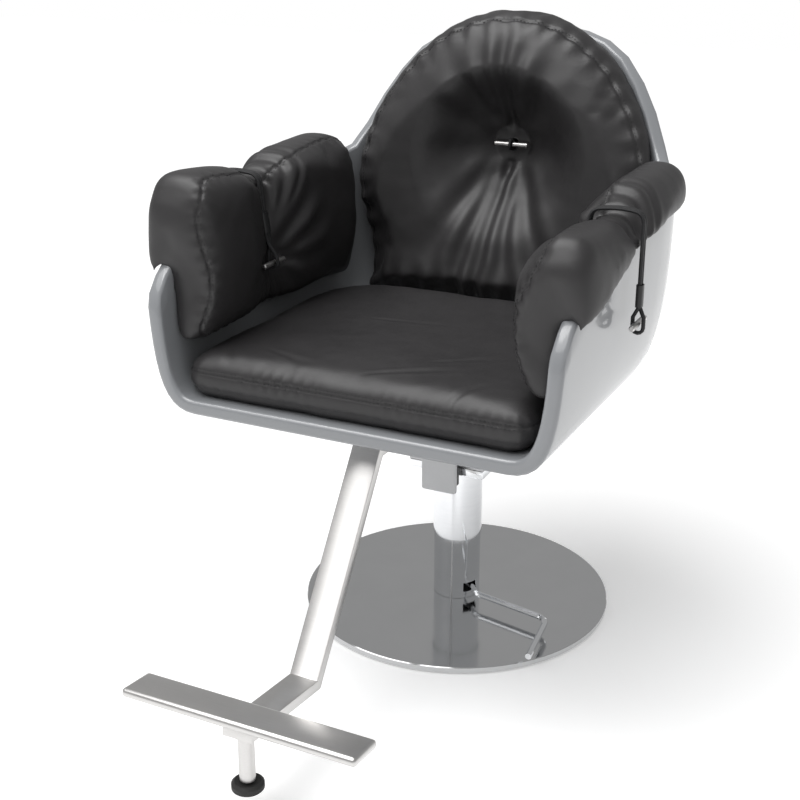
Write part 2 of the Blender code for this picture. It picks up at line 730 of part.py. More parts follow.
def column_head():
    ring("column_sleeve", sleeve_inner, sleeve_outer, sleeve_bottom, flange_bottom - touch_gap, "chrome",
         swivel_axis)
    flange = box("top_flange", (-flange_half_width, -flange_half_depth, flange_bottom),
                 (flange_half_width, flange_half_depth, flange_top), "chrome", swivel_axis, 0.0015, 2)
    bush_outer = neck_radius + run_gap + bush_wall
    bolt_spots = four_corners(flange_bolt_x, -flange_bolt_y, flange_bolt_y, 0.0)
    cut(flange, drill("flange_bore", [(0, 0, 0)], bush_outer + touch_gap, flange_bottom - 0.01,
                      flange_top + 0.01, round_segments))
    cut(flange, drill("flange_bolt_holes", bolt_spots, flange_bolt_radius + run_gap,
                      flange_bottom - 0.01, flange_top + 0.01))
    ring("swivel_bush", neck_radius + run_gap, bush_outer, flange_bottom + touch_gap, flange_top, "bronze",
         swivel_axis)
    washer_bottom = flange_top + 2 * touch_gap
    washer_top = washer_bottom + washer_thickness
    ring("swivel_washer", stud_radius + touch_gap, neck_radius + bush_wall, washer_bottom, washer_top,
         "plain_steel", lift_axis, hidden_segments)
    nut_bore = (stud_radius + touch_gap) / math.cos(math.pi / 6)
    ring("swivel_nut", nut_bore, nut_radius, washer_top + touch_gap, washer_top + nut_height,
         "plain_steel", lift_axis, segments=6)
    outer = [(-flange_half_width, riser_bottom), (flange_half_width, riser_bottom),
             (flange_half_width, riser_bottom + riser_foot), (riser_half_width, riser_bottom + riser_foot),
             (riser_half_width, riser_top), (-riser_half_width, riser_top),
             (-riser_half_width, riser_bottom + riser_foot), (-flange_half_width, riser_bottom + riser_foot)]
    inner_x = riser_half_width - riser_wall
    inner = [(-inner_x, riser_bottom + riser_foot), (-inner_x, riser_top - riser_roof),
             (inner_x, riser_top - riser_roof), (inner_x, riser_bottom + riser_foot)]
    middle = (riser_front + riser_back) / 2
    half = (riser_back - riser_front) / 2
    riser_mesh = extruded_mesh([outer, inner], half, Matrix.Translation((0, middle, 0)) @ lay_forward)
    riser = link("riser_frame", riser_mesh, "plain_steel", swivel_axis)
    cut(riser, drill("riser_bore", [(0, 0, 0)], bush_outer + 0.004, riser_bottom - 0.01,
                     riser_bottom + riser_foot + 0.002, round_segments))
    cut(riser, drill("riser_bolt_holes", bolt_spots, flange_bolt_radius + run_gap, riser_bottom - 0.01,
                     riser_bottom + riser_foot + 0.002))
    seat_of_head = riser_bottom + riser_foot + touch_gap
    for number, (x, y, _) in enumerate(bolt_spots, 1):
        screw(f"flange_bolt_{number}", Matrix.Translation((x, y, seat_of_head)), flange_bolt_head,
              flange_bolt_height, flange_bolt_radius, riser_foot + flange_thickness + flange_bolt_tail,
              "chrome", swivel_axis)
    plate = box("seat_plate", (-plate_half_width, plate_front, plate_bottom),
                (plate_half_width, plate_back, plate_bottom + plate_thickness), "plain_steel", swivel_axis)
    pad = box("shell_pad", (-plate_half_width - pad_lip, plate_front - pad_lip, pad_bottom),
              (plate_half_width + pad_lip, plate_back + pad_lip, pad_bottom + pad_thickness), "rubber",
              swivel_axis)
    for piece in (plate, pad):
        cut(piece, drill(piece.name + "_holes", shell_bolt_spots(0.0), shell_bolt_radius + run_gap,
                         plate_bottom - 0.01, shell_floor + 0.005))
    reach = shell_floor + shell_bolt_reach - plate_bottom + touch_gap
    for number, spot in enumerate(shell_bolt_spots(plate_bottom - touch_gap), 1):
        screw(f"shell_bolt_{number}", Matrix.Translation(spot) @ turn_over, shell_bolt_head, 0.005,
              shell_bolt_radius, reach, "plain_steel", swivel_axis)
    box("bracket_cover", (-cover_half_width, cover_front, cover_bottom),
        (cover_half_width, cover_front + cover_depth, cover_top), "light_grey_paint", swivel_axis, 0.004, 3)
    box("latch_block", (-latch_half_width, cover_front + cover_depth + touch_gap, cover_bottom + latch_drop),
        (latch_half_width, -flange_half_depth - touch_gap, cover_top - latch_drop), "black_plastic",
        swivel_axis)


def four_corners(half_width, front, back, height):
    return [(x, y, height) for x in (-half_width, half_width) for y in (front, back)]


def shell_bolt_spots(height):
    return four_corners(shell_bolt_x, shell_bolt_front, shell_bolt_back, height)


def footrest():
    slope = Vector((0.0, math.cos(toe_pitch), -math.sin(toe_pitch)))
    knee = Vector((0.0, knee_y, knee_z))
    toe = knee - slope * ((knee_y - toe_end) / math.cos(toe_pitch))
    line = [Vector((0.0, bar_back, bar_level)), Vector((0.0, bar_bend_y, bar_level)), knee, toe]
    rings = []
    for place, point in enumerate(line):
        before = (point - line[place - 1]).normalized() if place else (line[1] - point).normalized()
        after = (line[place + 1] - point).normalized() if place + 1 < len(line) else before
        along = (before + after).normalized()
        up = Vector((0.0, along.z, -along.y))
        half = bar_thickness / 2 / max(before.dot(along), 0.1)
        rings.append([point + Vector((bar_half_width, 0, 0)) + up * half,
                      point + Vector((-bar_half_width, 0, 0)) + up * half,
                      point + Vector((-bar_half_width, 0, 0)) - up * half,
                      point + Vector((bar_half_width, 0, 0)) - up * half])
    bar = link("footrest_bar", loft_mesh(rings), "brushed_steel", swivel_axis)
    bevel(bar, 0.0012, 2, 60)
    normal = Vector((0.0, math.sin(toe_pitch), math.cos(toe_pitch)))
    rest_middle = knee - slope * ((knee_y - rest_centre_y) / math.cos(toe_pitch))
    rest_middle += normal * (bar_thickness / 2 + touch_gap + rest_thickness / 2)
    tilt = Matrix.Translation(rest_middle) @ Matrix.Rotation(-toe_pitch, 4, "X")
    rest_mesh = box_mesh((-rest_length / 2, -rest_width / 2, -rest_thickness / 2),
                         (rest_length / 2, rest_width / 2, rest_thickness / 2))
    rest = link("footrest_pad", rest_mesh, "brushed_steel", swivel_axis)
    rest_mesh.transform(tilt)
    bevel(rest, 0.0055, 4, 60)
    screw_reach = bar_thickness + touch_gap + rest_thickness / 2
    screw_seat = -rest_thickness / 2 - touch_gap - bar_thickness - touch_gap
    spot = tilt @ Matrix.Translation((0, rest_screw_back, screw_seat)) @ turn_over
    screw("footrest_screw", spot, rest_screw_head, 0.003, rest_screw_radius, screw_reach, "plain_steel",
          swivel_axis)
    shaft = turned_mesh(rod_profile(rest_screw_radius + run_gap, -screw_reach - 0.001, 0.03), screw_segments)
    shaft.transform(spot)
    holes = cutter(shaft, "footrest_screw_hole")
    cut(bar, holes)
    cut(rest, holes)
    inner_x = bar_half_width + run_gap
    inner_low, inner_high = bar_bottom - run_gap, bar_top + run_gap
    outer_x = inner_x + socket_wall
    outer = [(-outer_x, socket_bottom), (outer_x, socket_bottom), (outer_x, socket_top),
             (-outer_x, socket_top)]
    inner = [(-inner_x, inner_low), (-inner_x, inner_high), (inner_x, inner_high), (inner_x, inner_low)]
    middle = (socket_front + socket_back) / 2
    socket_mesh = extruded_mesh([outer, inner], (socket_back - socket_front) / 2,
                                Matrix.Translation((0, middle, 0)) @ lay_forward)
    socket = link("footrest_socket", socket_mesh, "plain_steel", swivel_axis)
    spot = Vector((0.0, clamp_screw_y, socket_bottom - touch_gap))
    cut(socket, drill("clamp_screw_hole", [spot], clamp_screw_radius + run_gap, -0.01, socket_wall + 0.002))
    screw("clamp_screw", Matrix.Translation(spot) @ turn_over, 0.006, 0.005, clamp_screw_radius,
          socket_wall + run_gap, "plain_steel", swivel_axis)
    toe_middle = knee - slope * ((knee_y - post_y) / math.cos(toe_pitch))
    post_top = toe_middle.z - bar_thickness / 2 / math.cos(toe_pitch) - touch_gap
    post_top -= post_radius * math.tan(toe_pitch)
    post = ring("foot_post", stem_radius + run_gap, post_radius, post_bottom, post_top, "brushed_steel",
                swivel_axis, 32)
    post.data.transform(Matrix.Translation((0, post_y, 0)))
    glide_top = glide_bottom + glide_thickness
    pad = [(0, glide_top - 0.002), (post_radius, glide_top - 0.002), (glide_radius - 0.004, glide_top),
           (glide_radius, glide_top - 0.0035), (glide_radius, glide_bottom + 0.0015),
           (glide_radius - 0.0015, glide_bottom), (0, glide_bottom)]
    glide_mesh = turned_mesh(pad, 40)
    glide_mesh.transform(Matrix.Translation((0, post_y, 0)))
    smooth(glide_mesh)
    glide = link("foot_glide", glide_mesh, "rubber", glide_axis)
    cut(glide, drill("stem_seat", [(0, post_y, 0)], stem_radius + touch_gap, glide_bottom + 0.004, 0.2, 20))
    stem_low = glide_bottom + 0.004 + touch_gap
    stem = turned_mesh(rod_profile(stem_radius, stem_low, stem_low + stem_length, 0.0008), 20)
    stem.transform(Matrix.Translation((0, post_y, 0)))
    smooth(stem)
    link("glide_stem", stem, "plain_steel", glide_axis)


def shell():
    piece = link("shell", shell_mesh(), "grey_gloss", swivel_axis)
    mirror = piece.modifiers.new("halves", "MIRROR")
    mirror.merge_threshold = 0.0001
    wall = piece.modifiers.new("wall", "SOLIDIFY")
    wall.thickness = shell_wall
    wall.offset = -1.0
    wall.use_even_offset = True
    bevel(piece, rim_round, 3, 50)
    tops = shell_bolt_spots(0.0)
    cut(piece, drill("shell_bolt_threads", tops, shell_bolt_radius + run_gap, shell_floor - 0.01,
                     shell_floor + shell_bolt_reach + 0.001))
    cut(piece, drill("back_tie_hole", [(0, shell_back, back_toggle_height)], tie_hole_radius,
                     -0.06, 0.06, 16, lay_forward_half))
    smooth(piece.data, 50)


def seat_cushion():
    rings = []
    for step in range(7):
        swing = math.pi * step / 6
        inset = seat_cushion_inset * (1.0 - math.sin(swing) ** 0.7)
        height = inner_floor + soft_gap + seat_cushion_height * (1.0 - math.cos(swing)) / 2
        half_x = seat_cushion_half_width - inset
        middle = (seat_cushion_front + seat_cushion_back) / 2
        half_y = (seat_cushion_back - seat_cushion_front) / 2 - inset
        outline = []
        for turn, (side_x, side_y) in enumerate([(1, 1), (-1, 1), (-1, -1), (1, -1)]):
            corner = seat_cushion_back_corner if side_y > 0 else seat_cushion_corner
            for bit in range(5):
                angle = math.pi / 2 * (turn + bit / 4)
                outline.append((side_x * (half_x - corner) + corner * math.cos(angle),
                                middle + side_y * (half_y - corner) + corner * math.sin(angle), height))
        rings.append(outline)
    link("seat_cushion", loft_mesh(rings), "black_leather", swivel_axis)


def eased(share):
    """Rises from 0 to 1 as a quarter circle does."""
    share = min(max(share, 0.0), 1.0)
    return math.sqrt(1.0 - (1.0 - share) ** 2)


def back_cushion_faces(across, height):
    """Front and rear y of the back cushion at a share of its half width and a height."""
    width = back_cushion_width(height)
    x = across * width
    rear = back_wall_y(x, height, shell_wall) - back_cushion_clearance
    fullness = math.sqrt(1.0 - across ** 2)
    fullness *= eased((back_cushion_top - height) / back_cushion_roll)
    fullness *= eased((height - back_cushion_bottom) / back_cushion_chin)
    thickness = back_cushion_edge + (back_cushion_thickness - back_cushion_edge) * fullness
    spread = (x / tuft_half_width) ** 2 + ((height - back_toggle_height) / tuft_half_height) ** 2
    return rear - thickness * (1.0 - tuft_depth * math.exp(-spread ** 2)), rear


def back_cushion_width(height):
    arch = max(height - back_cushion_spring, 0.0) / (back_cushion_top + 0.002 - back_cushion_spring)
    below = (back_cushion_spring - height) / (back_cushion_spring - back_cushion_bottom)
    taper = back_cushion_taper * smoothly(below * 1.3)
    taper += 0.020 * (1.0 - eased((height - back_cushion_bottom) / 0.03))
    return back_cushion_half_width * math.sqrt(1.0 - arch ** 2) - taper


def back_cushion():
    below = back_toggle_height - back_cushion_bottom
    heights = [back_cushion_bottom + below * share for share in (0.0, 0.03, 0.094, 0.208, 0.377, 0.566)]
    steps = (0.012, 0.026, 0.045, 0.075)
    heights += [back_toggle_height - below * share for share in (0.283, 0.170, 0.098, 0.045, 0.0)]
    heights += [back_toggle_height + step for step in steps]
    heights += [back_cushion_top - step for step in (0.105, 0.075, 0.050, 0.030, 0.016, 0.007, 0.002, 0.0)]
    shares = [0.033 / back_cushion_half_width, 0.0605 / back_cushion_half_width]
    shares += [0.38, 0.56, 0.74, 0.88, 0.97, 1.0]
    shares = [-share for share in reversed(shares)] + [0.0] + list(shares)
    rings = []
    for height in heights:
        width = back_cushion_width(height)
        front = [(share * width, back_cushion_faces(share, height)[0], height) for share in shares]
        rear = [(share * width, back_cushion_faces(share, height)[1], height) for share in shares]
        rings.append(front + rear[::-1])
    cushion = link("back_cushion", loft_mesh(rings), "black_leather", swivel_axis)
    cut(cushion, drill("cushion_tie_hole", [(0, back_toggle_y, back_toggle_height)], tie_hole_radius,
                       -0.12, 0.12, 16, lay_forward_half))


def arm_section(y, rim, waist, fullness, sag):
    """Outline (x, z) of an arm cushion: up the inside of the wall, over the rim, and back."""
    top = arm_cushion_top - sag + (arm_cushion_waist_top - arm_cushion_top + sag) * waist
    top = rim + 0.012 + (top - rim - 0.012) * fullness
    inner = (arm_cushion_inner + (arm_cushion_waist_inner - arm_cushion_inner) * waist) * fullness
    outer = (arm_cushion_outer + (arm_cushion_waist_outer - arm_cushion_outer) * waist) * fullness
    wall = [wall_x(y, height, shell_wall) - soft_gap for height in (arm_cushion_bottom, 0.54, rim)]
    out = wall_x(y, rim) + soft_gap
    low = arm_cushion_bottom
    middle = (low + rim) / 2
    return [(wall[0], low), (wall[1] - 0.001, 0.54), (wall[2], rim - 0.03), (wall[2], rim + soft_gap),
            (out, rim + soft_gap), (out, rim - arm_cushion_flap),
            (out + outer * 0.6, rim - arm_cushion_flap - 0.004), (out + outer, rim + 0.010),
            (out + outer * 0.85, top - 0.018), (out - 0.004, top), (wall[2] - inner * 0.35, top),
            (wall[2] - inner * 0.88, top - 0.020), (wall[2] - inner, middle + 0.03),
            (wall[1] - inner * 0.85, middle - 0.02), (wall[0] - inner * 0.5, low)]


def arm_cushions():
    swings = [math.pi / 2 * step / (len(arch_rise) - 1) for step in range(3)]
    stations = [(y, front_rise(y)) for y in [side_rib_y(step) for step in range(2, side_steps)] + [waist_y]]
    stations += [tuple(back_rib(swing, rise)[-1][1:]) for swing, rise in zip(swings, arch_rise)]
    stations.sort()
    for side, label, sag in ((1, "left", arm_cushion_sag), (-1, "right", 0.0)):
        rings = []
        for y, rim in stations:
            share = min(abs(y - waist_y) / waist_length, 1.0)
            waist = (1.0 + math.cos(math.pi * share)) / 2
            reach = min((y - stations[0][0]) / 0.03, (stations[-1][0] - y) / 0.05)
            lower = sag if y < waist_y else 0.0
            section = arm_section(y, rim, waist, 0.62 + 0.38 * eased(reach), lower)
            rings.append([(side * x, y, z) for x, z in section])
        link(f"arm_cushion_{label}", loft_mesh(rings), "black_leather", swivel_axis)


def toggle(name, centre, along):
    mesh = turned_mesh(rod_profile(toggle_radius, -toggle_length / 2, toggle_length / 2, 0.0015), 16)
    mesh.transform(Matrix.Translation(centre) @ along)
    smooth(mesh, 50)
    link(name, mesh, "brushed_steel", swivel_axis)


def smoothly(share):
    share = min(max(share, 0.0), 1.0)
    return share * share * (3.0 - 2.0 * share)


def cord_loop(name, path, across, held, spread):
    """A closed loop of cord along a path and back. Its two strands are side by side along across, and
    at either end they part over the length spread and stay apart over held, round a toggle."""
    path = [Vector(point) for point in path]
    lengths = [0.0]
    for a, b in zip(path[:-1], path[1:]):
        lengths.append(lengths[-1] + (b - a).length)
    there, back = [], []
    for place, point in enumerate(path):
        along = (path[min(place + 1, len(path) - 1)] - path[max(place - 1, 0)]).normalized()
        over = along.cross(across)
        start = (lengths[place] - held[0]) / spread[0]
        end = (lengths[-1] - lengths[place] - held[1]) / spread[1]
        beside = smoothly(min(start, end))
        offset = over * loop_radius * (1.0 - beside) + across * strand_offset * beside
        there.append(point + offset)
        back.append(point - offset)
    points = list(there)
    points += turned_end(path[-1], (path[-1] - path[-2]).normalized(), there[-1] - path[-1])
    points += reversed(back)
    points += turned_end(path[0], (path[0] - path[1]).normalized(), back[0] - path[0])
    tube(name, points, cord_radius, "black_cord", swivel_axis, 1, True)


def turned_end(centre, ahead, offset):
    """The points of a half turn from the offset round to its opposite, its ends left out."""
    swings = [math.pi * step / 6 for step in range(1, 6)]
    return [centre + offset * math.cos(swing) + ahead * offset.length * math.sin(swing) for swing in swings]


def cord_sleeve(name, middle, along, across):
    """An oval tube round both strands of a cord."""
    outlines = []
    for reach in (cord_radius + run_gap + cord_sleeve_wall, cord_radius + run_gap):
        outline = []
        for side in (1, -1):
            for bit in range(7):
                swing = math.pi / 6 * bit - math.pi / 2 + (0.0 if side > 0 else math.pi)
                outline.append((side * strand_offset + reach * math.cos(swing), reach * math.sin(swing)))
        outlines.append(outline)
    frame = Matrix.Translation(middle) @ Matrix((across, along.cross(across), along)).transposed().to_4x4()
    mesh = extruded_mesh(outlines, cord_sleeve_length / 2, frame)
    smooth(mesh, 50)
    link(name, mesh, "black_plastic", swivel_axis)


def spaced(corners, bend, pitch=0.007):
    """The corners rounded off, with no two points of a straight run further apart than pitch."""
    path = softened(corners, bend, 6)
    points = [path[0]]
    for a, b in zip(path[:-1], path[1:]):
        pieces = max(round((b - a).length / pitch), 1)
        points += [a.lerp(b, piece / pieces) for piece in range(1, pieces + 1)]
    return points


def arm_ties():
    across = Vector((0.0, 1.0, 0.0))
    for side, label in ((1, "left"), (-1, "right")):
        corners = [(arm_toggle_x, arm_toggle_height), *arm_cord_bends, (arm_toggle_outer_x, 0.716),
                   (arm_toggle_outer_x, arm_toggle_outer_height - cord_slack)]
        corners = [Vector((side * x, waist_y, z)) for x, z in corners]
        path = spaced(corners, 0.014)
        cord_loop(f"arm_cord_{label}", path, across, (0.006, cord_slack + loop_radius), (0.028, 0.015))
        toggle(f"arm_toggle_inner_{label}", corners[0], lay_forward)
        toggle(f"arm_toggle_outer_{label}", corners[-1] + Vector((0, 0, cord_slack)), lay_forward)
        rise = (corners[2] - corners[1]).normalized()
        cord_sleeve(f"cord_sleeve_inner_{label}", corners[1].lerp(corners[2], 0.5), rise, across)
        drop = Vector((0.0, 0.0, -1.0))
        cord_sleeve(f"cord_sleeve_outer_{label}", corners[-1] + Vector((0, 0, 0.044)), drop, across)


def back_tie():
    toggle("back_toggle", Vector((0.0, back_toggle_y, back_toggle_height)), lay_across)
    outside = back_wall_y(0.0, back_toggle_height)
    washer_y = outside + 0.001
    washer = turned_mesh(ring_profile(tie_hole_radius, tie_washer_radius, -tie_washer_thickness, 0.0), 24,
                         closed=True)
    washer.transform(Matrix.Translation((0, washer_y, back_toggle_height)) @ lay_forward)
    smooth(washer)
    link("back_tie_washer", washer, "black_plastic", swivel_axis)
    end = washer_y + tie_washer_thickness + touch_gap + toggle_radius
    toggle("back_toggle_outer", Vector((0.0, end, back_toggle_height)), lay_across)
    path = spaced([(0, back_toggle_y, back_toggle_height), (0, end, back_toggle_height)], 0.0, 0.005)
    cord_loop("back_cord", path, Vector((1.0, 0.0, 0.0)), (1.0, 1.0), (1.0, 1.0))


floor_plate()
pump()
lever()
column_head()
footrest()
shell()
seat_cushion()
back_cushion()
arm_cushions()
arm_ties()
back_tie()
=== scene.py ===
import math

import bmesh
import bpy
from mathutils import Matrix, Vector, noise
from mathutils.bvhtree import BVHTree
from mathutils.kdtree import KDTree


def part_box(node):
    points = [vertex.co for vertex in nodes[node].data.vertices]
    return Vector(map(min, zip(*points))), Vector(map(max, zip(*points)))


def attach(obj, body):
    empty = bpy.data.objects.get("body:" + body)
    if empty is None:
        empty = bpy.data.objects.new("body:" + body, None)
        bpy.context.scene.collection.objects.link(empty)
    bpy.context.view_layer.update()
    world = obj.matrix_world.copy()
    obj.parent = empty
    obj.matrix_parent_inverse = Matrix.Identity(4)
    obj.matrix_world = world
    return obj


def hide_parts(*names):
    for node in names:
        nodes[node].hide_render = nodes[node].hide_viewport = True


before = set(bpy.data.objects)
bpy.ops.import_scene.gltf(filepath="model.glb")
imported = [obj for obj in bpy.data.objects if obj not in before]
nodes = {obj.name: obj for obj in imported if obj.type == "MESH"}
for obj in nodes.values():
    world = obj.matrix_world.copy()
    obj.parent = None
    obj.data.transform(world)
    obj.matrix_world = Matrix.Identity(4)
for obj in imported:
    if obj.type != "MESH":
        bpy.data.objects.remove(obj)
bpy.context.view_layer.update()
print("frame in,", len(nodes), "nodes")


# shader maths, written as plain expressions

class Wire:
    def __init__(self, graph, socket):
        self.graph, self.socket = graph, socket

    def maths(self, operation, first, second):
        return self.graph.node("ShaderNodeMath", {"operation": operation}, {0: first, 1: second})

    def __add__(self, other):
        return self.maths("ADD", self, other)

    def __radd__(self, other):
        return self.maths("ADD", other, self)

    def __sub__(self, other):
        return self.maths("SUBTRACT", self, other)

    def __rsub__(self, other):
        return self.maths("SUBTRACT", other, self)

    def __mul__(self, other):
        return self.maths("MULTIPLY", self, other)

    def __rmul__(self, other):
        return self.maths("MULTIPLY", other, self)


class Graph:
    def __init__(self, name):
        self.material = bpy.data.materials.new(name)
        self.material.use_nodes = True
        self.tree = self.material.node_tree
        self.shader = self.tree.nodes["Principled BSDF"]
        self.place = self.node("ShaderNodeTexCoord", {}, {}, "Object")

    def node(self, kind, settings, sockets, output=0):
        made = self.tree.nodes.new(kind)
        for key, value in settings.items():
            if key == "stops":
                for spot, (position, colour) in enumerate(value):
                    marks = made.color_ramp.elements
                    stop = marks[spot] if spot < 2 else marks.new(position)
                    stop.position, stop.color = position, colour
            else:
                setattr(made, key, value)
        for key, value in sockets.items():
            self.feed(made.inputs[key], value)
        return Wire(self, made.outputs[output])

    def feed(self, socket, value):
        if isinstance(value, Wire):
            self.tree.links.new(value.socket, socket)
        else:
            socket.default_value = value

    def set(self, **values):
        for key, value in values.items():
            self.feed(self.shader.inputs[key.replace("_", " ")], value)

    def stretched(self, scale):
        return self.node("ShaderNodeMapping", {}, {"Vector": self.place, "Scale": scale})

    def cloud(self, scale, detail=3.0, where=None):
        sockets = {"Vector": where or self.place, "Scale": scale, "Detail": detail}
        return self.node("ShaderNodeTexNoise", {}, sockets, 0)

    def cells(self, scale, feature="F1", where=None):
        sockets = {"Vector": where or self.place, "Scale": scale}
        return self.node("ShaderNodeTexVoronoi", {"feature": feature}, sockets, 0)

    def ramp(self, value, low, high):
        stops = [(low, (0, 0, 0, 1)), (high, (1, 1, 1, 1))]
        return self.node("ShaderNodeValToRGB", {"stops": stops}, {0: value})

    def blend(self, share, first, second):
        sockets = {0: share, 6: (*first, 1), 7: (*second, 1)}
        return self.node("ShaderNodeMix", {"data_type": "RGBA"}, sockets, 2)

    def bump(self, height, strength, distance):
        sockets = {"Height": height, "Strength": strength, "Distance": distance}
        return self.node("ShaderNodeBump", {}, sockets)


# the finishes, each with its own settings
leatherFinish = {"dark": (0.0150, 0.0142, 0.0150), "light": (0.0300, 0.0285, 0.0295),
                 "grain": 620.0,
                 "roughness": 0.36, "spread": 0.14, "relief": 0.16}


def leather():
    graph = Graph("black_leather")
    broad = graph.cloud(7.0, 4.0)
    creases = graph.cells(leatherFinish["grain"], "DISTANCE_TO_EDGE")
    pores = graph.cloud(leatherFinish["grain"] * 2.4, 2.0)
    rubbed = graph.cloud(38.0, 5.0)
    grain = graph.ramp(creases, 0.02, 0.28) * 0.7 + pores * 0.3
    graph.set(Base_Color=graph.blend(broad * 0.6 + rubbed * 0.4, leatherFinish["dark"],
                                     leatherFinish["light"]),
              Roughness=leatherFinish["roughness"] + (broad
                                                      * 0.5 + rubbed * 0.5) * leatherFinish["spread"]
              + (1 - grain) * 0.05,
              Normal=graph.bump(grain + rubbed * 0.5, leatherFinish["relief"], 0.0006))
    return graph.material


glossFinish = {"low": (0.222, 0.230, 0.242), "high": (0.246, 0.254, 0.266), "coat": 0.6,
               "coatRoughness": 0.05}


def glossGrey():
    graph = Graph("grey_gloss")
    broad = graph.cloud(4.0, 3.0)
    fleck = graph.cloud(900.0, 1.0)
    handling = graph.cloud(18.0, 2.0)
    graph.set(Base_Color=graph.blend(broad * 0.7 + fleck * 0.3, glossFinish["low"],
                                     glossFinish["high"]),
              Roughness=0.26 + broad * 0.05 + handling * 0.03, Coat_Weight=glossFinish["coat"],
              Coat_Roughness=glossFinish["coatRoughness"],
              Normal=graph.bump(graph.cloud(24.0, 0.0), 0.006, 0.0004))
    return graph.material


metalFinishes = {
    "chrome": {"low": (0.70, 0.71, 0.73), "high": (0.80, 0.81, 0.82), "roughness": 0.05,
               "spread": 0.08,
               "streak": (30.0, 30.0, 260.0), "relief": 0.012},
    "mirror_steel": {"low": (0.58, 0.585, 0.59), "high": (0.64, 0.645, 0.65), "roughness": 0.07,
                     "spread": 0.10,
                     "streak": (18.0, 18.0, 18.0), "relief": 0.010},
    "plain_steel": {"low": (0.36, 0.36, 0.37), "high": (0.50, 0.50, 0.51), "roughness": 0.30,
                    "spread": 0.20,
                    "streak": (90.0, 90.0, 90.0), "relief": 0.05},
    "bronze": {"low": (0.38, 0.24, 0.11), "high": (0.52, 0.35, 0.17), "roughness": 0.28,
               "spread": 0.2,
               "streak": (120.0, 120.0, 30.0), "relief": 0.05},
    "brushed_steel": {"low": (0.54, 0.53, 0.52), "high": (0.68, 0.67, 0.66), "roughness": 0.24,
                      "spread": 0.20,
                      "streak": (40.0, 900.0, 900.0), "relief": 0.06},
}


def metal(name):
    finish = metalFinishes[name]
    graph = Graph(name)
    streaks = graph.cloud(1.0, 4.0, graph.stretched(finish["streak"]))
    handling = graph.cloud(22.0, 6.0)
    scratches = graph.ramp(graph.cloud(1.0, 8.0, graph.stretched((14.0, 300.0, 120.0))), 0.60, 0.70)
    tone = streaks * 0.6 + handling * 0.4
    dulled = streaks * 0.5 + handling * 0.3 + scratches * 0.2
    graph.set(Base_Color=graph.blend(tone, finish["low"], finish["high"]), Metallic=1.0,
              Roughness=finish["roughness"] + dulled * finish["spread"],
              Normal=graph.bump(streaks + scratches * 0.4, finish["relief"], 0.0004))
    return graph.material


mouldedFinishes = {
    "base_rubber": {"low": (0.012, 0.012, 0.012), "high": (0.028, 0.028, 0.027), "roughness": 0.62,
                    "grain": 420.0,
                    "relief": 0.25},
    "grey_paint": {"low": (0.50, 0.505, 0.515), "high": (0.56, 0.565, 0.575), "roughness": 0.34,
                   "grain": 260.0,
                   "relief": 0.06},
    "black_plastic": {"low": (0.010, 0.010, 0.011), "high": (0.020, 0.020, 0.021),
                      "roughness": 0.38,
                      "grain": 700.0, "relief": 0.12},
}


def moulded(name):
    finish = mouldedFinishes[name]
    graph = Graph(name)
    grain = graph.cells(finish["grain"])
    wear = graph.cloud(26.0, 6.0)
    graph.set(Base_Color=graph.blend(wear * 0.8 + grain * 0.2, finish["low"], finish["high"]),
              Roughness=finish["roughness"] + wear * 0.18 - grain * 0.04,
              Normal=graph.bump(grain + wear * 0.5, finish["relief"], 0.0005))
    return graph.material


def cordFinish():
    graph = Graph("black_cord")
    weave = graph.node("ShaderNodeTexWave", {"wave_type": "BANDS", "bands_direction": "DIAGONAL"},
                       {"Vector": graph.place, "Scale": 420.0, "Distortion": 1.5}, 1)
    cross = graph.node("ShaderNodeTexWave", {"wave_type": "BANDS", "bands_direction": "DIAGONAL"},
                       {"Vector": graph.stretched((1.0, -1.0, 1.0)), "Scale": 420.0,
                        "Distortion": 1.5}, 1)
    fuzz = graph.cloud(1300.0, 2.0)
    braid = weave * cross + fuzz * 0.3
    graph.set(Base_Color=graph.blend(braid, (0.006, 0.006, 0.007), (0.030, 0.030, 0.032)),
              Roughness=0.50 + fuzz * 0.25, Normal=graph.bump(braid, 0.5, 0.0005))
    return graph.material


finishes = {"black_leather": leather(), "grey_gloss": glossGrey(), "black_cord": cordFinish()}
finishes.update({name: metal(name) for name in metalFinishes})
finishes.update({name: moulded(name) for name in mouldedFinishes})
for node in nodes.values():
    was = node.data.materials[0].name.split(".")[0]
    for place in range(len(node.data.materials)):
        node.data.materials[place] = finishes[was]
# facets rounded by modifiers alone, so the frame's meshes stay as they came
shading = {"weld": 0.00001, "sharp": 34}


def roundedShading():
    group = bpy.data.node_groups.new("roundedShading", "GeometryNodeTree")
    for way in ("INPUT", "OUTPUT"):
        group.interface.new_socket("Geometry", in_out=way, socket_type="NodeSocketGeometry")
    entry, leave = group.nodes.new("NodeGroupInput"), group.nodes.new("NodeGroupOutput")
    strip = group.nodes.new("GeometryNodeRemoveAttribute")
    strip.inputs["Name"].default_value = "custom_normal"
    smooth = group.nodes.new("GeometryNodeSetShadeSmooth")
    for first, second in ((entry, strip), (strip, smooth), (smooth, leave)):
        group.links.new(first.outputs[0], second.inputs[0])
    return group


rounding = roundedShading()
for node in nodes.values():
    node.modifiers.new("rounded", "NODES").node_group = rounding
    node.modifiers.new("joined", "WELD").merge_threshold = shading["weld"]
    node.modifiers.new("edges", "EDGE_SPLIT").split_angle = math.radians(shading["sharp"])
print("finishes on")


# ways of making the sewn pieces
def treeOf(target):
    mesh = target.data
    corners = [vertex.co.copy() for vertex in mesh.vertices]
    return BVHTree.FromPolygons(corners, [tuple(face.vertices) for face in mesh.polygons])


